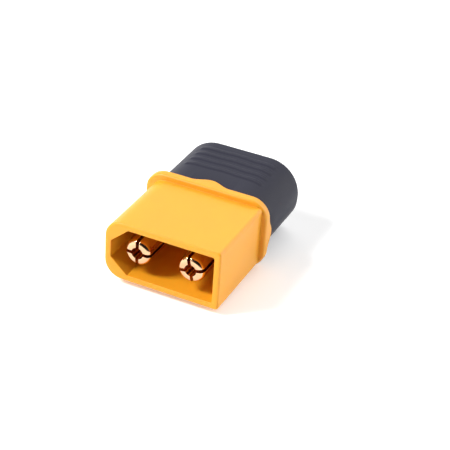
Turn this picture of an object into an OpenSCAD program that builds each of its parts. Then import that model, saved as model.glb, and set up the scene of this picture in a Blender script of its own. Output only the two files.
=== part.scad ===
// Two-pole battery connector, pin half: a keyed moulded socket around two slotted bullet
// pins, a flange whose rear edge has a wave on each of its four sides, and a sheath that
// snaps on over the solder cups.
// Lengths run along Y from the mouth of the socket, which faces -Y. The chamfered key is
// at -X, and the cups open towards +Z.

/* [Socket] */
// Outside width of the socket
socket_w = 15.5; // [14.8:0.1:18]
// Outside height of the socket
socket_h = 8.1; // [7.6:0.1:10]
// Length of the socket from its mouth to the flange
socket_len = 11.7; // [11:0.1:18]
// Depth of the socket from its mouth to its floor
socket_depth = 8.8; // [6:0.1:10]
// Thickness of the socket's walls
socket_wall = 0.85; // [0.6:0.05:1.2]
// Outside radius of the two corners on the keyed side
keyed_r = 2.4; // [0.8:0.1:3.2]
// Outside radius of the two corners on the square side
square_r = 0.45; // [0.35:0.05:1.5]
// Width of the chamfers that key the socket
key_w = 2.3; // [0.8:0.1:2.8]
// Height of the chamfers that key the socket
key_h = 2.05; // [0.8:0.05:2.5]
// Rounding of the outer edge at the mouth
mouth_round = 0.25; // [0.05:0.05:0.3]

/* [Flange and boss] */
// Thickness of the flange away from its waves
flange_t = 1.1; // [0.5:0.05:1.5]
// How far the flange stands out past the socket's narrow sides
flange_side = 0.68; // [0.4:0.02:1.5]
// How far the flange stands out past the socket's broad sides
flange_over = 0.75; // [0.4:0.05:1.5]
// Corner radius of the flange
flange_r = 2.5; // [1:0.1:4]
// Rounding of the flange's front edge
flange_round = 0.3; // [0.05:0.05:0.4]
// How far the waves on the flange's broad sides reach back
wave_rise = 0.85; // [0.2:0.05:1.2]
// Width of a wave on a broad side
wave_w = 5.3; // [3:0.1:8]
// How far the waves on the flange's narrow sides reach back
side_rise = 0.9; // [0.2:0.05:1.2]
// Width of a wave on a narrow side
side_wave_w = 4.8; // [3:0.1:5]
// Length of the boss that carries the sheath, behind the flange
boss_len = 3.4; // [3:0.1:6]
// Rounding of the boss's rear edge
boss_round = 0.3; // [0.1:0.05:0.5]
// Width of the snap tooth on each broad side of the boss
tooth_w = 4; // [2:0.1:5]
// Length of a snap tooth, its ramp included
tooth_len = 1.3; // [0.8:0.1:1.6]
// Height of a snap tooth
tooth_h = 0.3; // [0.2:0.05:0.4]

/* [Contacts] */
// Distance between the two contacts
contact_pitch = 7.2; // [6.6:0.1:7.8]
// Diameter of a bullet pin
pin_d = 3.5; // [3:0.1:4]
// Distance from the socket's mouth back to the pin's tip
pin_recess = 0.6; // [0.4:0.1:2]
// Rounding of the pin's tip
tip_round = 0.6; // [0.3:0.05:0.9]
// Diameter of the relief bore in the pin
pin_bore = 1.55; // [1.2:0.05:1.8]
// Width of the cross slits
slit_w = 0.42; // [0.3:0.02:0.6]
// Length of the cross slits from the tip
slit_len = 6.5; // [4:0.1:7]
// Turn of the positive contact's slits, counter-clockwise seen from the mouth
slit_turn = 12; // [0:1:45]
// How much the neck in the socket's floor is wider than the pin, in radius
neck_step = 0.2; // [0.05:0.05:0.3]
// Thickness of the socket's floor in front of the seats
floor_web = 1.7; // [1:0.1:2.4]
// Play between the floor and the front of a seated contact's barbs
seat_play = 0.2; // [0.05:0.05:0.4]
// How much the barbed seat is wider than the neck, in radius
seat_step = 0.2; // [0.15:0.05:0.4]
// Depth of the barb grooves around the seat
barb_depth = 0.2; // [0.1:0.05:0.3]
// Distance between barb grooves
barb_pitch = 1.1; // [0.8:0.1:1.5]
// How much the collar is wider than the seat, in radius
collar_step = 0.35; // [0.2:0.05:0.5]
// Thickness of the collar
collar_t = 0.7; // [0.4:0.1:1.2]
// Outside diameter of a solder cup
cup_d = 4.6; // [4.4:0.1:5]
// Inside diameter of a solder cup
cup_bore = 3.5; // [3:0.1:4]
// Length of a solder cup
cup_len = 4.6; // [3.5:0.1:7]
// Thickness of a solder cup's floor
cup_floor = 0.7; // [0.4:0.1:1]
// Length of the scoop that opens a cup's upper side
scoop_len = 2.4; // [1.2:0.1:2.6]
// Height of the scoop's floor above the contact's axis
scoop_floor = 0.4; // [0:0.1:1]
// Radial clearance of a contact in the housing
contact_clear = 0.03; // [0.02:0.01:0.08]

/* [Sheath] */
// How far the sheath lies inside the flange's edge on the narrow sides
sheath_side = 0.38; // [0.1:0.02:0.6]
// How far the sheath lies inside the flange's edge on the broad sides
sheath_under = 0.2; // [0.2:0.05:0.4]
// Height of the flat between the corner radii of the sheath
sheath_flat = 0.4; // [0.2:0.1:3]
// Thickness of the sheath's side walls
sheath_wall = 0.9; // [0.75:0.05:1.1]
// Thickness of the sheath's rear wall
rear_wall = 1.1; // [0.95:0.05:2]
// Rounding of the sheath's rear edge
sheath_round = 0.9; // [0.3:0.05:1]
// Room between the solder cups and the sheath's rear wall
cup_room = 1.9; // [0.5:0.1:5]
// Gap between the flange and the sheath's front edge
front_gap = 0.15; // [0.05:0.05:0.3]
// Clearance between the sheath and the boss
sheath_clear = 0.15; // [0.05:0.05:0.2]
// Diameter of the two wire holes in the rear wall
wire_hole = 5.4; // [4:0.1:6]
// Chamfer at the outer edge of a wire hole
wire_chamfer = 0.25; // [0.1:0.05:0.4]

/* [Grip ribs] */
// Number of wavy ribs on each broad side of the sheath
rib_count = 4; // [1:1:4]
// Distance from the sheath's front edge to the first rib
rib_start = 3.8; // [2.4:0.1:4]
// Distance between ribs
rib_pitch = 1.5; // [1.2:0.1:1.6]
// Width of a rib
rib_w = 0.8; // [0.4:0.1:0.9]
// Height of a rib
rib_h = 0.18; // [0.05:0.01:0.2]
// Length of a rib from end to end
rib_len = 10.8; // [6:0.1:12]
// How far the wave in the middle of a rib reaches back
rib_wave = 0.15; // [0:0.05:0.8]

/* [Hidden] */
$fn = 64;
// Overshoot that makes cuts clean
over = 1;
wave_steps = 24;

// Radii of the turned contact
pin_r = pin_d / 2;
neck_r = pin_r + neck_step;
seat_r = neck_r + seat_step;
collar_r = seat_r + collar_step;
cup_r = cup_d / 2;

// Stations along Y
seat_y = socket_depth + floor_web;
flange_rear = socket_len + flange_t;
boss_rear = flange_rear + boss_len;
collar_y = boss_rear - collar_t;
cup_rear = boss_rear + cup_len;
sheath_front = flange_rear + front_gap;
sheath_inside = cup_rear + cup_room;
sheath_rear = sheath_inside + rear_wall;
tooth_y = boss_rear - boss_round - tooth_len;

// Cross sections
inner_x = socket_w / 2 - socket_wall;
inner_z = socket_h / 2 - socket_wall;
flange_w = socket_w + 2 * flange_side;
flange_h = socket_h + 2 * flange_over;
flange_reach = flange_t + max(wave_rise, side_rise);
sheath_w = flange_w - 2 * sheath_side;
sheath_h = flange_h - 2 * sheath_under;
sheath_r = (sheath_h - sheath_flat) / 2;
hollow_w = sheath_w - 2 * sheath_wall;
hollow_h = sheath_h - 2 * sheath_wall;
hollow_r = sheath_r - sheath_wall;
boss_w = hollow_w - 2 * sheath_clear;
boss_h = hollow_h - 2 * sheath_clear;
boss_r = hollow_r - sheath_clear;

// Points from right to left along a line across the part, with a raised cosine wave of
// width w in its middle
function wave_line(half, y, w, rise) = concat(
    [[half, y]],
    [for (i = [0:wave_steps]) let (share = 0.5 - i / wave_steps)
        [w * share, y + rise * (1 + cos(360 * share)) / 2]],
    [[-half, y]]
);

// Turns a shape that stands along Z so that it runs along Y from a station
module along_y(y) {
    translate([0, y, 0]) rotate([-90, 0, 0]) children();
}

// The same, but running forward from the station
module against_y(y) {
    translate([0, y, 0]) rotate([90, 0, 0]) children();
}

// Repeats a shape at both contacts
module at_contacts() {
    for (side = [-1, 1])
        translate([side * contact_pitch / 2, 0, 0]) children();
}

// Repeats a shape on both broad sides
module both_sides() {
    for (flip = [0, 1])
        mirror([0, 0, flip]) children();
}

// Half section of a wall that reaches out from an axis, its starting edge rounded
module edge_profile(reach, len, edge) {
    translate([reach - edge, 0])
        intersection() {
            translate([0, edge]) circle(edge);
            square(edge);
        }
    polygon([[0, 0], [reach - edge, 0], [reach, edge], [reach, len], [0, len]]);
}

// Block along Z with upright corners of two radii, its starting edge rounded all round
module soft_block(w, h, r_left, r_right, len, edge) {
    x_left = -w / 2 + r_left;
    x_right = w / 2 - r_right;
    z_left = h / 2 - r_left;
    z_right = h / 2 - r_right;
    for (flip = [0, 1])
        mirror([0, flip, 0]) {
            translate([x_left, z_left, 0]) rotate(90) rotate_extrude(angle = 90)
                edge_profile(r_left, len, edge);
            translate([x_right, z_right, 0]) rotate_extrude(angle = 90)
                edge_profile(r_right, len, edge);
            translate([x_left, 0, 0]) rotate([90, 0, 90]) linear_extrude(x_right - x_left)
                edge_profile(h / 2, len, edge);
        }
    translate([x_left, -z_left, 0]) rotate([90, 0, 180]) linear_extrude(2 * z_left)
        edge_profile(r_left, len, edge);
    translate([x_right, z_right, 0]) rotate([90, 0, 0]) linear_extrude(2 * z_right)
        edge_profile(r_right, len, edge);
}

// Rectangle with round corners
module round_rect(w, h, r) {
    square([w - 2 * r, h], center = true);
    square([w, h - 2 * r], center = true);
    for (x = [-1, 1], z = [-1, 1])
        translate([x * (w / 2 - r), z * (h / 2 - r)]) circle(r);
}

// Inside outline of the socket, with the two chamfers of the key
module key_outline() {
    polygon([
        [inner_x, inner_z], [-inner_x + key_w, inner_z], [-inner_x, inner_z - key_h],
        [-inner_x, -inner_z + key_h], [-inner_x + key_w, -inner_z], [inner_x, -inner_z]
    ]);
}

// All that lies ahead of a station, with the waves of the broad and narrow sides behind it
module ahead_of_waves(y) {
    translate([0, 0, -flange_h])
        linear_extrude(2 * flange_h)
            polygon(concat([[-flange_w, 0], [flange_w, 0]], wave_line(flange_w, y, wave_w, wave_rise)));
    translate([-flange_w, 0, 0]) rotate([90, 0, 90])
        linear_extrude(2 * flange_w)
            polygon(concat(
                [[0, flange_h], [0, -flange_h]],
                [for (p = wave_line(flange_h, y, side_wave_w, side_rise)) [p[1], -p[0]]]
            ));
}

// Flange whose rear edge swells into a wave on each of its four sides
module flange() {
    intersection() {
        along_y(socket_len)
            soft_block(flange_w, flange_h, flange_r, flange_r, flange_reach, flange_round);
        ahead_of_waves(flange_rear);
    }
}

// Ramped tooth on the boss, steep towards the flange
module snap_tooth() {
    base = boss_h / 2 - tooth_h;
    top = boss_h / 2 + tooth_h;
    translate([-tooth_w / 2, 0, 0]) rotate([90, 0, 90])
        linear_extrude(tooth_w)
            polygon([
                [tooth_y, base], [tooth_y + tooth_len, base], [tooth_y + tooth_len, boss_h / 2],
                [tooth_y + tooth_len / 3, top], [tooth_y, top]
            ]);
}

// Stepped hole that a contact is pressed into from behind
module contact_seat() {
    along_y(socket_depth - over) cylinder(r = neck_r + contact_clear, h = floor_web + 2 * over);
    along_y(seat_y) cylinder(r = seat_r + contact_clear, h = collar_y - seat_y + over);
    along_y(collar_y) cylinder(r = collar_r + contact_clear, h = collar_t + over);
}

// Turned outline of a contact, from its tip
module contact_profile() {
    tip = pin_recess;
    first_barb = seat_y + seat_play + barb_pitch / 2;
    barbs = floor((collar_y - barb_depth - first_barb) / barb_pitch);
    translate([pin_r - tip_round, tip + tip_round]) circle(tip_round);
    polygon(concat(
        [[0, tip], [pin_r - tip_round, tip], [pin_r, tip + tip_round]],
        [[pin_r, socket_depth], [neck_r, socket_depth]],
        [[neck_r, seat_y + seat_play], [seat_r, seat_y + seat_play]],
        [for (i = [0:barbs], p = [[0, 0], [barb_depth, barb_depth], [0, 2 * barb_depth]])
            [seat_r - p[0], first_barb + i * barb_pitch - barb_depth + p[1]]],
        [[seat_r, collar_y], [collar_r, collar_y], [collar_r, boss_rear], [cup_r, boss_rear]],
        [[cup_r, cup_rear], [0, cup_rear]]
    ));
}

// Slanted opening in the upper side of a solder cup
module cup_scoop() {
    translate([-cup_d, 0, 0]) rotate([90, 0, 90])
        linear_extrude(2 * cup_d)
            polygon([
                [cup_rear - scoop_len, cup_r], [cup_rear - scoop_len / 2, scoop_floor],
                [cup_rear + over, scoop_floor], [cup_rear + over, cup_r + over],
                [cup_rear - scoop_len, cup_r + over]
            ]);
}

// One contact, turned from rod with its start between the slits, drilled from both ends
// and slit crosswise at its tip, with its slits turned about its axis
module contact(turned = 0) {
    bore_len = slit_len + slit_w;
    cup_depth = cup_len - cup_floor;
    difference() {
        along_y(0) rotate(45 - turned) rotate_extrude() contact_profile();
        along_y(pin_recess - over) cylinder(d = pin_bore, h = bore_len + over);
        for (turn = [0, 90])
            along_y(pin_recess - over) rotate(turn - turned)
                translate([-pin_d, -slit_w / 2, 0]) cube([2 * pin_d, slit_w, slit_len + over]);
        along_y(cup_rear - cup_depth) cylinder(d = cup_bore, h = cup_depth + over);
        cup_scoop();
    }
}

// Bands of the grip ribs seen from above, each with the wave in its middle and round ends
module rib_bands() {
    straight = rib_len / 2 - rib_w / 2;
    for (i = [0:rib_count - 1]) {
        y = sheath_front + rib_start + i * rib_pitch;
        front = wave_line(straight, y - rib_w / 2, wave_w, rib_wave);
        rear = wave_line(straight, y + rib_w / 2, wave_w, rib_wave);
        polygon(concat(front, [for (k = [len(rear) - 1:-1:0]) rear[k]]));
        for (side = [-1, 1])
            translate([side * straight, y]) circle(d = rib_w);
    }
}

// Low ribs that follow the outside of the sheath
module grip_ribs() {
    grow = 2 * rib_h;
    intersection() {
        against_y(sheath_rear)
            soft_block(sheath_w + grow, sheath_h + grow, sheath_r + rib_h, sheath_r + rib_h,
                sheath_rear - sheath_front, sheath_round);
        both_sides()
            translate([0, 0, sheath_h / 4]) linear_extrude(sheath_h) rib_bands();
    }
}

// Round hole for one wire through the rear wall, its outer edge broken
module wire_way() {
    along_y(sheath_inside - over) cylinder(d = wire_hole, h = rear_wall + 2 * over);
    along_y(sheath_rear - wire_chamfer)
        cylinder(d1 = wire_hole, d2 = wire_hole + 2 * wire_chamfer + 2 * over, h = wire_chamfer + over);
}

// Channel that lets the snap tooth in from the sheath's front edge
module tooth_channel() {
    length = tooth_y + tooth_len + sheath_clear;
    translate([-tooth_w / 2 - sheath_clear, 0, 0])
        cube([tooth_w + 2 * sheath_clear, length, boss_h / 2 + tooth_h + sheath_clear]);
}

// Puts the part on its origin, at the middle of its footprint
module placed() {
    translate([0, -sheath_rear / 2, flange_h / 2]) children();
}

module housing() {
    color("#f9b13c") placed() difference() {
        union() {
            along_y(0) soft_block(socket_w, socket_h, keyed_r, square_r, flange_rear, mouth_round);
            flange();
            against_y(boss_rear)
                soft_block(boss_w, boss_h, boss_r, boss_r, boss_rear - socket_len, boss_round);
            both_sides() snap_tooth();
        }
        along_y(-over) linear_extrude(socket_depth + over) key_outline();
        at_contacts() contact_seat();
    }
}

module positive_contact() {
    color("#d9a441") placed() translate([contact_pitch / 2, 0, 0]) contact(slit_turn);
}

module negative_contact() {
    color("#d9a441") placed() translate([-contact_pitch / 2, 0, 0]) contact();
}

module sheath() {
    color("#3b3a44") placed() difference() {
        union() {
            against_y(sheath_rear)
                soft_block(sheath_w, sheath_h, sheath_r, sheath_r, sheath_rear - sheath_front, sheath_round);
            grip_ribs();
        }
        along_y(sheath_front - over)
            linear_extrude(sheath_inside - sheath_front + over) round_rect(hollow_w, hollow_h, hollow_r);
        ahead_of_waves(sheath_front);
        both_sides() tooth_channel();
        at_contacts() wire_way();
    }
}

housing();
positive_contact();
negative_contact();
sheath();
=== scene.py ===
import math

import bmesh
import bpy
from mathutils import Matrix, Vector


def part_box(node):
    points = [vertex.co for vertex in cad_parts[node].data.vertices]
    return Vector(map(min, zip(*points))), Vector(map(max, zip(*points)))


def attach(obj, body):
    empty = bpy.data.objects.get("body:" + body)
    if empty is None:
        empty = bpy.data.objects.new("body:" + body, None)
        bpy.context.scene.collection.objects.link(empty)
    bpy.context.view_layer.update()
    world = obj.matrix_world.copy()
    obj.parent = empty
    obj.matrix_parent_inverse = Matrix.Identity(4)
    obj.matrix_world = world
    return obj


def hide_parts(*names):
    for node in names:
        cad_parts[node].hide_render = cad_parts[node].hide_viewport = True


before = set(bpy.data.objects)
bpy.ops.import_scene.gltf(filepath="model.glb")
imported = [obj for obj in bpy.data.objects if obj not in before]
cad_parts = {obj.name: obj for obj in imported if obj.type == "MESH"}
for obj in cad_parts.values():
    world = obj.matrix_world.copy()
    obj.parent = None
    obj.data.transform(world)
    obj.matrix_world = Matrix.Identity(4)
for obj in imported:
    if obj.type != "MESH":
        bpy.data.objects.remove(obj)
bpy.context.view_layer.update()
scene = bpy.context.scene
mm = 0.001

# Lengths below are in mm from the middle of the socket's mouth: x to the right, y back, z up.
housingLow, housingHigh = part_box("housing")
sheathLow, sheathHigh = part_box("sheath")
contactLow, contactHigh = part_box("positive_contact")
mouthY = housingLow.y
middleZ = (housingLow.z + housingHigh.z) / 2
flangeHalf = Vector(((housingHigh.x - housingLow.x) / 2, (housingHigh.z - housingLow.z) / 2)) / mm
sheathHalfW = (sheathHigh.x - sheathLow.x) / 2 / mm
contactX = (contactLow.x + contactHigh.x) / 2 / mm


def station(edge):  # how far a place in the frame lies behind the mouth
    return (edge - mouthY) / mm


def place(x, y, z):
    return Vector((x * mm, mouthY + y * mm, middleZ + z * mm))


# Steps in each stretch and arc; middleHalf is half the stretch that is drawn finely for the wave.
fineness = {
    "side": 14, "shoulder": 4, "middle": 56, "middleHalf": 2.8,
    "squareArc": 8, "roundArc": 16, "keyArc": 6, "sheathArc": 40,
    "circle": 96, "petal": 22, "tipArc": 9, "holeArc": 5}
# The waves that the flange's rear edge and the sheath's front edge share
waves = {"broadW": 5.3, "broadRise": 0.85, "narrowW": 4.8, "narrowRise": 0.9, "reach": 1}
sharpAngle = 35  # degrees; faces that meet at more than this shade as an edge
cutPast = 0.5  # how far a cutter reaches past the face that it opens


def wave(at, width, rise):  # raised cosine about the middle
    return rise * (1 + math.cos(2 * math.pi * at / width)) / 2 if abs(at) < width / 2 else 0


def rearWaves(p):  # how far the flange's rear edge swells back at a point of an outline
    onBroadSide = wave(p.x, waves["broadW"], waves["broadRise"])
    return onBroadSide + wave(p.y, waves["narrowW"], waves["narrowRise"])


def quarter(steps):  # angles of a quarter turn
    return [math.pi / 2 * i / steps for i in range(steps + 1)]


def between(a, b, steps):  # points that part a straight run, its ends left out
    return [a.lerp(b, i / steps) for i in range(1, steps)]


def fillet(before, corner, after, radius, steps):
    a, b = (before - corner).normalized(), (after - corner).normalized()
    half = a.angle(b) / 2
    centre = corner + (a + b).normalized() * radius / math.sin(half)
    start, end = (corner + side * radius / math.tan(half) - centre for side in (a, b))
    return [centre + start.slerp(end, i / steps) * radius for i in range(steps + 1)]


# A closed outline that is alike above and below, from its corners over the top: (x, z, radius, steps)
def outlineOf(*corners):
    ends = Vector((corners[0][0], 0)), Vector((corners[-1][0], 0))
    path = [ends[0], *(Vector(c[:2]) for c in corners), ends[1]]
    arcs = [fillet(*path[i:i + 3], *corners[i][2:]) for i in range(len(corners))]
    middle = fineness["middleHalf"]
    top = corners[0][1]
    left, right = Vector((-middle, top)), Vector((middle, top))
    upper = [path[0], *between(path[0], arcs[0][0], fineness["side"]), *arcs[0]]
    upper += [*between(arcs[0][-1], right, fineness["shoulder"]), right]
    upper += [*between(right, left, fineness["middle"]), left]
    upper += between(left, arcs[1][0], fineness["shoulder"])
    for i, points in enumerate(arcs[1:]):
        upper += between(arcs[i][-1], points[0], fineness["shoulder"]) if i else []
        upper += points
    upper += [*between(arcs[-1][-1], path[-1], fineness["side"]), path[-1]]
    return upper + [Vector((p.x, -p.y)) for p in reversed(upper[1:-1])]


def ring(outline, y, shift=0.0):  # an outline at one station, or at one that varies along it
    return [place(p.x, (y(p) if callable(y) else y) + shift, p.y) for p in outline]


# Rings of a rounded edge: way is 1 where the wall runs back from station y, and -1 where it runs forward.
def roundOff(outlineFor, y, radius, steps=3, way=1):  # from the face at y out to the wall
    return [ring(outlineFor(radius * (math.sin(t) - 1)), y, way * radius * (1 - math.cos(t)))
            for t in quarter(steps)]


def roundIn(outlineFor, y, radius, steps=3):  # from the wall in to the face at y behind it
    return [ring(outlineFor(radius * (math.cos(t) - 1)), y, -radius * (1 - math.sin(t)))
            for t in quarter(steps)]


def flareOut(outlineFor, y, radius, steps=3, way=1):  # from the wall out to the face at y
    return [ring(outlineFor(radius * (1 - math.cos(t))), y, way * radius * (1 - math.sin(t)))
            for t in quarter(steps)]


def circle(axisX, radius, y):
    count = fineness["circle"]
    turns = [2 * math.pi * i / count for i in range(count)]
    return [place(axisX + radius * math.cos(t), y, radius * math.sin(t)) for t in turns]


def meshFrom(name, build):
    shape = bmesh.new()
    build(shape)
    bmesh.ops.recalc_face_normals(shape, faces=shape.faces)
    mesh = bpy.data.meshes.new(name)
    shape.to_mesh(mesh)
    shape.free()
    piece = bpy.data.objects.new(name, mesh)
    scene.collection.objects.link(piece)
    return piece


def loft(name, rings):  # skin over rings of equal count, closed at both ends
    def build(shape):
        rows = [[shape.verts.new(p) for p in points] for points in rings]
        for a, b in zip(rows, rows[1:]):
            for i in range(len(a)):
                shape.faces.new((a[i - 1], a[i], b[i], b[i - 1]))
        shape.faces.new(rows[0])
        shape.faces.new(rows[-1])
    return meshFrom(name, build)


def prism(name, points, halfW):  # profile in y and z, drawn out across the part
    return loft(name, [[place(x, y, z) for y, z in points] for x in (-halfW, halfW)])


def settle(piece):  # the modifiers' result becomes the piece's own mesh
    graph = bpy.context.evaluated_depsgraph_get()
    mesh = bpy.data.meshes.new_from_object(piece.evaluated_get(graph))
    piece.modifiers.clear()
    piece.data = mesh


def soften(piece, width, angle=50, steps=2):
    bevel = piece.modifiers.new("softEdges", "BEVEL")
    bevel.width = width * mm
    bevel.segments = steps
    bevel.angle_limit = math.radians(angle)
    settle(piece)


def carve(piece, cutters, operation="DIFFERENCE"):
    for cutter in cutters:
        cut = piece.modifiers.new("carve", "BOOLEAN")
        cut.operation = operation
        cut.object = cutter
    settle(piece)
    for cutter in cutters:
        bpy.data.objects.remove(cutter)


def dress(piece, material, body, node):
    piece.data.shade_smooth()
    piece.data.set_sharp_from_angle(angle=math.radians(sharpAngle))
    even = piece.modifiers.new("evenShading", "WEIGHTED_NORMAL")
    even.keep_sharp = True
    piece.data.materials.clear()
    piece.data.materials.append(material)
    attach(piece, body)
    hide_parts(node)
    print(f"{piece.name}: {len(piece.data.polygons)} faces")


def linear(hexColour):
    channels = [int(hexColour[i:i + 2], 16) / 255 for i in (1, 3, 5)]
    return [*(c / 12.92 if c <= 0.04045 else ((c + 0.055) / 1.055) ** 2.4 for c in channels), 1]


def addNode(tree, kind, settings=(), inputs=()):
    node = tree.nodes.new(kind)
    for name, value in dict(settings).items():
        setattr(node, name, value)
    for name, value in dict(inputs).items():
        if isinstance(value, bpy.types.NodeSocket):
            tree.links.new(value, node.inputs[name])
        else:
            node.inputs[name].default_value = value
    return node


def newMaterial(name):
    material = bpy.data.materials.new(name)
    material.use_nodes = True
    tree = material.node_tree
    tree.nodes.clear()
    return material, tree


def pointInMm(tree):
    coords = addNode(tree, "ShaderNodeTexCoord")
    inMm = addNode(tree, "ShaderNodeMapping", inputs={
        "Vector": coords.outputs["Object"], "Scale": (1 / mm, 1 / mm, 1 / mm)})
    return inMm.outputs["Vector"]


def mouldedNylon(name, finish):
    material, tree = newMaterial(name)
    point = pointInMm(tree)
    cloud = addNode(tree, "ShaderNodeTexNoise", inputs={  # faint patches where the nylon flowed
        "Vector": point, "Scale": 1 / finish["cloudSize"], "Detail": 2})
    tint = addNode(tree, "ShaderNodeMix", {"data_type": "RGBA"}, {
        0: cloud.outputs["Fac"], 6: linear(finish["dark"]), 7: linear(finish["light"])})
    gloss = addNode(tree, "ShaderNodeMapRange", inputs={
        "Value": cloud.outputs["Fac"], "To Min": finish["roughness"] - finish["spread"],
        "To Max": finish["roughness"] + finish["spread"]})
    grain = addNode(tree, "ShaderNodeTexNoise", inputs={
        "Vector": point, "Scale": 1 / finish["grainSize"], "Detail": 3, "Roughness": 0.6})
    bump = addNode(tree, "ShaderNodeBump", inputs={
        "Height": grain.outputs["Fac"], "Distance": finish["grainDepth"] * mm, "Strength": 1})
    surface = addNode(tree, "ShaderNodeBsdfPrincipled", inputs={
        "Base Color": tint.outputs[2], "Roughness": gloss.outputs["Result"], "IOR": 1.53,
        "Specular IOR Level": finish["specular"], "Subsurface Weight": finish["glow"],
        "Subsurface Radius": finish["glowReach"], "Subsurface Scale": finish["glowScale"] * mm,
        "Normal": bump.outputs["Normal"]})
    addNode(tree, "ShaderNodeOutputMaterial", inputs={"Surface": surface.outputs["BSDF"]})
    return material


# Amber nylon 66, injection moulded in a spark-eroded tool: a warm satin skin with a little light in it.
# The real grain is about 0.03 mm; it is drawn coarser so that it shows.
amberNylon = mouldedNylon("amberNylon", {
    "dark": "#e69b1d", "light": "#eaa223", "cloudSize": 4,
    "roughness": 0.42, "spread": 0.04, "specular": 0.36,
    "grainSize": 0.16, "grainDepth": 0.004,
    "glow": 0.2, "glowReach": (1, 0.4, 0.1), "glowScale": 0.35})

# Black nylon 66, moulded the same way, its grain drawn as coarse: slate grey with a low sheen
blackNylon = mouldedNylon("blackNylon", {
    "dark": "#2b2b36", "light": "#2f2f3b", "cloudSize": 5,
    "roughness": 0.5, "spread": 0.04, "specular": 0.11,
    "grainSize": 0.16, "grainDepth": 0.006,
    "glow": 0, "glowReach": (1, 1, 1), "glowScale": 0.1})


def turnedGold(name, finish):
    material, tree = newMaterial(name)
    point = pointInMm(tree)
    bandAtScaleOne = 2 * math.pi / 20  # how far apart the texture's bands lie at a scale of 1
    marks = addNode(tree, "ShaderNodeTexWave", {"wave_type": "BANDS", "bands_direction": "Y"}, {
        "Vector": point, "Scale": bandAtScaleOne / finish["feed"], "Distortion": 1.5, "Detail": 2})
    tarnish = addNode(tree, "ShaderNodeTexNoise", inputs={
        "Vector": point, "Scale": 1 / finish["cloudSize"], "Detail": 3})
    tint = addNode(tree, "ShaderNodeMix", {"data_type": "RGBA"}, {
        0: tarnish.outputs["Fac"], 6: linear(finish["dark"]), 7: linear(finish["light"])})
    gloss = addNode(tree, "ShaderNodeMapRange", inputs={
        "Value": tarnish.outputs["Fac"], "To Min": finish["roughness"] - finish["spread"],
        "To Max": finish["roughness"] + finish["spread"]})
    bump = addNode(tree, "ShaderNodeBump", inputs={
        "Height": marks.outputs["Fac"], "Distance": finish["markDepth"] * mm, "Strength": 1})
    surface = addNode(tree, "ShaderNodeBsdfPrincipled", inputs={
        "Base Color": tint.outputs[2], "Metallic": 1, "Roughness": gloss.outputs["Result"],
        "Normal": bump.outputs["Normal"]})
    addNode(tree, "ShaderNodeOutputMaterial", inputs={"Surface": surface.outputs["BSDF"]})
    return material


# Brass turned from rod, plated bright gold: cream highlights and faint rings from the tool.
# The real feed is about 0.05 mm; it is drawn coarser so that it shows.
goldPlate = turnedGold("goldPlatedBrass", {
    "dark": "#deae84", "light": "#e8c098", "cloudSize": 1.5,
    "roughness": 0.14, "spread": 0.05, "feed": 0.14, "markDepth": 0.0006})
print("materials ready")


# Housing: keyed socket, flange with a wavy rear edge, boss with two snap teeth
housing = {
    "wall": 0.85, "depth": 8.8, "keyedCorner": 2.4, "squareCorner": 0.45,
    "keyW": 2.3, "keyH": 2.05, "keySoft": 0.2, "sideStep": 0.68, "overStep": 0.75,
    "flangeThick": 1.1, "flangeCorner": 2.5, "flangeRound": 0.3, "frontGap": 0.15,
    "mouthRound": 0.25, "rimRound": 0.08, "floorRound": 0.12, "rootRound": 0.06,
    "bossHalfW": 7.0, "bossHalfH": 3.55, "bossCorner": 3.35, "bossRound": 0.3,
    "toothW": 4, "toothLen": 1.3, "toothH": 0.3, "toothRoot": 0.3, "toothSoft": 0.06,
    "seatPlay": 0.03, "seatChamfer": 0.1}
turned = {
    "pinR": 1.75, "tipRound": 0.6, "boreR": 0.775, "slitW": 0.42, "slitLen": 6.5, "slitTurn": 12,
    "neckR": 1.95, "seatR": 2.15, "seatStart": 10.5, "seatGap": 0.2,
    "barbDepth": 0.2, "barbPitch": 1.1, "collarR": 2.5, "collarThick": 0.7,
    "cupR": 2.3, "cupBoreR": 1.75, "cupDepth": 3.9, "scoopLen": 2.4, "scoopFloor": 0.4,
    "edge": 0.12, "extraRings": (2, 4)}  # the extra rings stand on the pin, that far behind its tip
bossRear = station(housingHigh.y)
sheathFront = station(sheathLow.y)
flangeRear = sheathFront - housing["frontGap"]
flangeFront = flangeRear - housing["flangeThick"]
collarFront = bossRear - turned["collarThick"]


# Each outline below can be drawn smaller or larger: grow moves it outwards.
def keyedOutline(x, z, squareR, keyedR):  # small corners at the right, large ones at the key's side
    return outlineOf((x, z, squareR, fineness["squareArc"]), (-x, z, keyedR, fineness["roundArc"]))


def socketOutline(grow):
    x, z = flangeHalf.x - housing["sideStep"] + grow, flangeHalf.y - housing["overStep"] + grow
    return keyedOutline(x, z, housing["squareCorner"] + grow, housing["keyedCorner"] + grow)


def cavityOutline(grow):  # the key's chamfers keep their slope as the outline grows
    x = flangeHalf.x - housing["sideStep"] - housing["wall"] + grow
    z = flangeHalf.y - housing["overStep"] - housing["wall"] + grow
    w, h = housing["keyW"], housing["keyH"]
    slant = math.hypot(w, h)
    across, down = w + grow * (1 - (slant - w) / h), h + grow * (1 - (slant - h) / w)
    soft, keyArc = housing["keySoft"] + grow, fineness["keyArc"]
    right = (x, z, soft, fineness["squareArc"])
    return outlineOf(right, (-x + across, z, soft, keyArc), (-x, z - down, soft, keyArc))


def flangeOutline(grow):
    corner = housing["flangeCorner"] + grow
    return keyedOutline(flangeHalf.x + grow, flangeHalf.y + grow, corner, corner)


def bossOutline(grow):
    corner = housing["bossCorner"] + grow
    return keyedOutline(housing["bossHalfW"] + grow, housing["bossHalfH"] + grow, corner, corner)


def flangeBack(p):
    return flangeRear + rearWaves(p)


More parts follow.
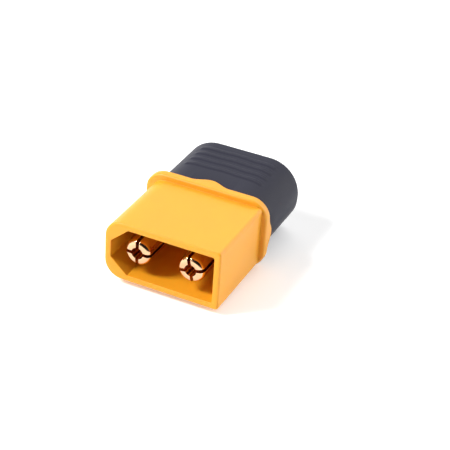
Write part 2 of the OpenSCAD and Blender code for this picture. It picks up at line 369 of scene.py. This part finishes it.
def housingRings():  # from the cavity's floor over the rim and back to the boss
    rings = roundOff(cavityOutline, housing["depth"], housing["floorRound"], way=-1)
    rings += flareOut(cavityOutline, 0, housing["rimRound"])
    rings += roundOff(socketOutline, 0, housing["mouthRound"], steps=5)
    rings += flareOut(socketOutline, flangeFront, housing["rootRound"], way=-1)
    rings += roundOff(flangeOutline, flangeFront, housing["flangeRound"], steps=4)
    rings += roundIn(flangeOutline, flangeBack, housing["rimRound"])
    rings += [ring(bossOutline(0), flangeBack), ring(bossOutline(0), flangeRear + waves["reach"])]
    return rings + roundIn(bossOutline, bossRear, housing["bossRound"], steps=4)


def snapTooth(side):  # its front is square, and its back runs down to the boss
    start = bossRear - housing["bossRound"] - housing["toothLen"]
    end, ramp = start + housing["toothLen"], start + housing["toothLen"] / 3  # flat for a third
    face = housing["bossHalfH"]
    base, top = face - housing["toothRoot"], face + housing["toothH"]
    points = [(start, base), (end, base), (end, face), (ramp, top), (start, top)]
    tooth = prism("tooth", [(y, side * z) for y, z in points], housing["toothW"] / 2)
    soften(tooth, housing["toothSoft"], angle=30)
    return tooth


def contactSeat(side):  # stepped hole, its front edge broken
    play, chamfer, depth = housing["seatPlay"], housing["seatChamfer"], housing["depth"]
    neck, seat, collar = (turned[name] + play for name in ("neckR", "seatR", "collarR"))
    step = turned["seatStart"]
    profile = [(neck + chamfer + cutPast, depth - cutPast), (neck, depth + chamfer), (neck, step)]
    profile += [(seat, step), (seat, collarFront), (collar, collarFront), (collar, bossRear + cutPast)]
    return loft("seat", [circle(side * contactX, radius, y) for radius, y in profile])


socketHousing = loft("socketHousing", housingRings())
carve(socketHousing, [snapTooth(1), snapTooth(-1)], "UNION")
carve(socketHousing, [contactSeat(1), contactSeat(-1)])
dress(socketHousing, amberNylon, "housing", "housing")


# Contacts: bullet pins slit crosswise, pressed in from behind, with scooped solder cups
def contactProfile():  # (radius, y) from the drilled bore round the tip to the cup, and where the slits end
    tip, cupRear = station(contactLow.y), station(contactHigh.y)
    slitEnd = tip + turned["slitLen"]
    drillEnd = slitEnd + turned["slitW"]
    pin, bore, tipRound = turned["pinR"], turned["boreR"], turned["tipRound"]
    profile = [(bore, drillEnd), (bore, slitEnd)]
    firstSlit = len(profile) - 1
    profile += [(bore, tip + behind) for behind in (*reversed(turned["extraRings"]), 0)]
    for t in quarter(fineness["tipArc"]):
        profile.append((pin - tipRound * (1 - math.sin(t)), tip + tipRound * (1 - math.cos(t))))
    profile += [(pin, tip + behind) for behind in turned["extraRings"]]
    profile.append((pin, slitEnd))
    lastSlit = len(profile) - 1
    neck, seat, collar, cup = (turned[name] for name in ("neckR", "seatR", "collarR", "cupR"))
    floor, seatFront = housing["depth"], turned["seatStart"] + turned["seatGap"]
    profile += [(pin, floor), (neck, floor), (neck, seatFront), (seat, seatFront)]
    barb, pitch = turned["barbDepth"], turned["barbPitch"]
    first = seatFront + pitch / 2
    for i in range(int((collarFront - barb - first) / pitch) + 1):
        middle = first + i * pitch
        profile += [(seat, middle - barb), (seat - barb, middle), (seat, middle + barb)]
    profile += [(seat, collarFront), (collar, collarFront), (collar, bossRear), (cup, bossRear)]
    cupBore = turned["cupBoreR"]
    profile += [(cup, cupRear), (cupBore, cupRear), (cupBore, cupRear - turned["cupDepth"])]
    return profile, firstSlit, lastSlit


def contactTurns(radius, slitTurn):  # angles round the contact, set so that the slits have parallel sides
    slant = math.asin(turned["slitW"] / 2 / radius)
    steps = fineness["petal"]
    turns = []
    for quadrant in range(4):
        corner = math.radians(slitTurn) + quadrant * math.pi / 2
        start, end = corner + slant, corner + math.pi / 2 - slant
        turns += [start + (end - start) * i / steps for i in range(steps + 1)]
        turns.append(end + slant)
    return turns


def bulletContact(name, axisX, slitTurn):
    profile, firstSlit, lastSlit = contactProfile()

    def build(shape):
        rows = []
        for radius, y in profile:
            turns = contactTurns(radius, slitTurn)
            around = [(axisX + radius * math.cos(t), radius * math.sin(t)) for t in turns]
            rows.append([shape.verts.new(place(x, y, z)) for x, z in around])
        count = len(rows[0])
        perQuadrant = count // 4
        isSlit = [i % perQuadrant >= perQuadrant - 2 for i in range(count)]
        for k, (a, b) in enumerate(zip(rows, rows[1:])):
            for i in range(count):
                j = (i + 1) % count
                if not (firstSlit <= k < lastSlit and isSlit[i]):
                    shape.faces.new((a[i], a[j], b[j], b[i]))
        slitRows = rows[firstSlit:lastSlit + 1]
        for i in range(count):
            if isSlit[i]:  # the slit's floor
                j = (i + 1) % count
                shape.faces.new((slitRows[0][i], slitRows[0][j], slitRows[-1][j], slitRows[-1][i]))
            if i % perQuadrant in (0, perQuadrant - 2):  # its walls
                shape.faces.new([row[i] for row in slitRows])
        shape.faces.new(rows[0])
        shape.faces.new(rows[-1])
        bmesh.ops.delete(shape, geom=[v for v in shape.verts if not v.link_faces], context="VERTS")

    contact = meshFrom(name, build)
    soften(contact, turned["edge"])
    cupRear, cupR, floor = station(contactHigh.y), turned["cupR"], turned["scoopFloor"]
    front, slopeEnd = cupRear - turned["scoopLen"], cupRear - turned["scoopLen"] / 2
    rear, top = cupRear + cutPast, cupR + cutPast
    points = [(front, cupR), (slopeEnd, floor), (rear, floor), (rear, top), (front, top)]
    cutter = prism("scoop", points, top)
    cutter.location.x = axisX * mm
    carve(contact, [cutter])
    return contact


for name, axisX, slitTurn, node in (
        ("positiveBullet", contactX, turned["slitTurn"], "positive_contact"),
        ("negativeBullet", -contactX, 0, "negative_contact")):
    dress(bulletContact(name, axisX, slitTurn), goldPlate, "housing", node)


# Sheath: a pushed-on cap with four grip ribs above and below, and two wire holes
sheath = {
    "underStep": 0.2, "flat": 0.4, "wall": 0.9, "rearWall": 1.1,
    "rearRound": 0.9, "insideRound": 0.2, "frontRound": 0.04,
    "clear": 0.15, "channelFoot": 2.5, "holeR": 2.7, "holeRound": 0.25}
ribs = {
    "count": 4, "start": 3.8, "pitch": 1.5, "width": 0.7, "soft": 0.45, "height": 0.11,
    "length": 10.8, "wave": 0.15, "ringGap": 0.05}
sheathRear = station(sheathHigh.y)
sheathInside = sheathRear - sheath["rearWall"]
sheathHalfH = flangeHalf.y - sheath["underStep"]
sheathCorner = sheathHalfH - sheath["flat"] / 2


def sheathOutline(grow):
    x, z, corner = sheathHalfW + grow, sheathHalfH + grow, sheathCorner + grow
    return outlineOf(*((side * x, z, corner, fineness["sheathArc"]) for side in (1, -1)))


def hollowOutline(grow):
    return sheathOutline(grow - sheath["wall"])


def sheathEdge(p):
    return sheathFront + rearWaves(p)


def ribHeight(x, y):
    straight = ribs["length"] / 2 - ribs["width"] / 2
    far = max(abs(x) - straight, 0)
    bend = wave(x, waves["broadW"], ribs["wave"])
    middles = [sheathFront + ribs["start"] + i * ribs["pitch"] for i in range(ribs["count"])]
    away = min(math.hypot(far, y - middle - bend) for middle in middles)
    share = (ribs["width"] / 2 + ribs["soft"] / 2 - away) / ribs["soft"]
    share = min(max(share, 0), 1)
    return ribs["height"] * share * share * (3 - 2 * share)


def sheathRings():  # from the rear wall's inside, round the front edge and back over the ribs
    rings = roundOff(hollowOutline, sheathInside, sheath["insideRound"], way=-1)
    rings += flareOut(hollowOutline, sheathEdge, sheath["frontRound"])
    rings += roundOff(sheathOutline, sheathEdge, sheath["frontRound"])
    base, grown = sheathOutline(0), sheathOutline(1)
    start = sheathFront + ribs["start"] - ribs["width"]
    end = start + (ribs["count"] - 1) * ribs["pitch"] + 2 * ribs["width"] + ribs["wave"]
    count = round((end - start) / ribs["ringGap"])
    for i in range(count + 1):
        y = start + (end - start) * i / count
        rings.append(ring([p + (q - p) * ribHeight(p.x, y) for p, q in zip(base, grown)], y))
    return rings + roundIn(sheathOutline, sheathRear, sheath["rearRound"], steps=8)


def wireWay(side):  # a wire's hole, its outer edge rounded
    r, hole = sheath["holeRound"], sheath["holeR"]
    profile = [(hole, sheathInside - cutPast)]
    for t in quarter(fineness["holeArc"]):
        profile.append((hole + r * (1 - math.cos(t)), sheathRear - r * (1 - math.sin(t))))
    profile.append((hole + r, sheathRear + cutPast))
    return loft("wireWay", [circle(side * contactX, radius, y) for radius, y in profile])


def toothChannel(side):
    start, end = sheathFront - cutPast, bossRear - housing["bossRound"] + sheath["clear"]
    foot, top = sheath["channelFoot"], housing["bossHalfH"] + housing["toothH"] + sheath["clear"]
    points = [(start, foot), (end, foot), (end, top), (start, top)]
    halfW = housing["toothW"] / 2 + sheath["clear"]
    return prism("channel", [(y, side * z) for y, z in points], halfW)


wireSheath = loft("wireSheath", sheathRings())
carve(wireSheath, [wireWay(1), wireWay(-1), toothChannel(1), toothChannel(-1)])
dress(wireSheath, blackNylon, "sheath", "sheath")


# Studio, in metres: a pale floor in a dark room with soft white panels, and a lamp at the left front
studio = {
    "floorColour": "#f4f4f4", "floorGlow": 0.25, "floorSize": 8, "dark": 0.02,
    "lampFrom": (-0.255, -0.18, 0.318), "lampSize": 0.12, "lampWatts": 2.3}
panels = {  # the way to each, the cosines where it starts and where it is full, and its level
    "backRight": ((0.68, 0.68, 0.26), 0.82, 1, 3.3),
    "backLeft": ((-0.68, 0.68, 0.26), 0.82, 1, 1.3),
    "back": ((0, 0.64, 0.77), 0.82, 1, 2.6),
    "right": ((0.56, 0.32, 0.77), 0.82, 1, 1.1),
    "left": ((-0.68, -0.68, 0.26), 0.82, 1, 1.7),
    "horizon": ((0, 0, 1), 0.1, 0.02, 0.9)}
shot = {  # the photograph's own view, in degrees and in mm of the frame
    "lens": 112, "sensor": 36, "azimuth": 23.26, "elevation": 32.05, "roll": 4.14,
    "aim": (2.49, 0.77, 4.35), "distance": 176.82, "near": 1, "far": 10000}


def buildFloor():
    half = studio["floorSize"] / 2
    corners = [(-half, -half, 0), (half, -half, 0), (half, half, 0), (-half, half, 0)]
    floor = meshFrom("floor", lambda shape: shape.faces.new([shape.verts.new(c) for c in corners]))
    material, tree = newMaterial("paleBoard")  # matt white card: it takes a soft shadow and mirrors nothing
    surface = addNode(tree, "ShaderNodeBsdfPrincipled", inputs={
        "Base Color": linear(studio["floorColour"]), "Roughness": 0.9, "Specular IOR Level": 0.1,
        "Emission Color": (1, 1, 1, 1), "Emission Strength": studio["floorGlow"]})
    addNode(tree, "ShaderNodeOutputMaterial", inputs={"Surface": surface.outputs["BSDF"]})
    floor.data.materials.append(material)


def buildRoom():
    world = bpy.data.worlds.new("softPanels")
    scene.world = world
    world.use_nodes = True
    tree = world.node_tree
    tree.nodes.clear()
    coords = addNode(tree, "ShaderNodeTexCoord")
    total = studio["dark"]
    for towards, start, full, level in panels.values():
        facing = addNode(tree, "ShaderNodeVectorMath", {"operation": "DOT_PRODUCT"}, {
            0: coords.outputs["Generated"], 1: Vector(towards).normalized()})
        patch = addNode(tree, "ShaderNodeMapRange", {"interpolation_type": "SMOOTHSTEP"}, {
            "Value": facing.outputs["Value"], "From Min": start, "From Max": full, "To Max": level})
        total = addNode(tree, "ShaderNodeMath", {"operation": "ADD"}, {
            0: patch.outputs["Result"], 1: total}).outputs["Value"]
    sky = addNode(tree, "ShaderNodeBackground", inputs={"Color": (1, 1, 1, 1), "Strength": total})
    addNode(tree, "ShaderNodeOutputWorld", inputs={"Surface": sky.outputs["Background"]})


def addLamp():  # aimed at the part's middle
    lamp = bpy.data.lights.new("keyBox", "AREA")
    lamp.size = studio["lampSize"]
    lamp.energy = studio["lampWatts"]
    holder = bpy.data.objects.new("keyBox", lamp)
    scene.collection.objects.link(holder)
    away = Vector(studio["lampFrom"])
    holder.location = place(0, station(sheathHigh.y) / 2, 0) + away
    holder.rotation_mode = "QUATERNION"
    holder.rotation_quaternion = (-away).to_track_quat("-Z", "Y")


def addCamera():
    turn, rise, roll = (math.radians(shot[name]) for name in ("azimuth", "elevation", "roll"))
    level = math.cos(rise)
    back = Vector((math.sin(turn) * level, -math.cos(turn) * level, math.sin(rise)))
    right = Vector((math.cos(turn), math.sin(turn), 0))
    up = back.cross(right)
    across = right * math.cos(roll) + up * math.sin(roll)
    upright = up * math.cos(roll) - right * math.sin(roll)
    lens = bpy.data.cameras.new("camera")
    lens.lens = shot["lens"]
    lens.sensor_width = shot["sensor"]
    lens.clip_start, lens.clip_end = shot["near"] * mm, shot["far"] * mm
    camera = bpy.data.objects.new("camera", lens)
    scene.collection.objects.link(camera)
    spot = (Vector(shot["aim"]) + back * shot["distance"]) * mm
    facing = Matrix((across, upright, back)).transposed().to_4x4()
    camera.matrix_world = Matrix.Translation(spot) @ facing
    scene.camera = camera


buildFloor()
buildRoom()
addLamp()
addCamera()
scene.view_settings.view_transform = "Standard"
print("studio ready")
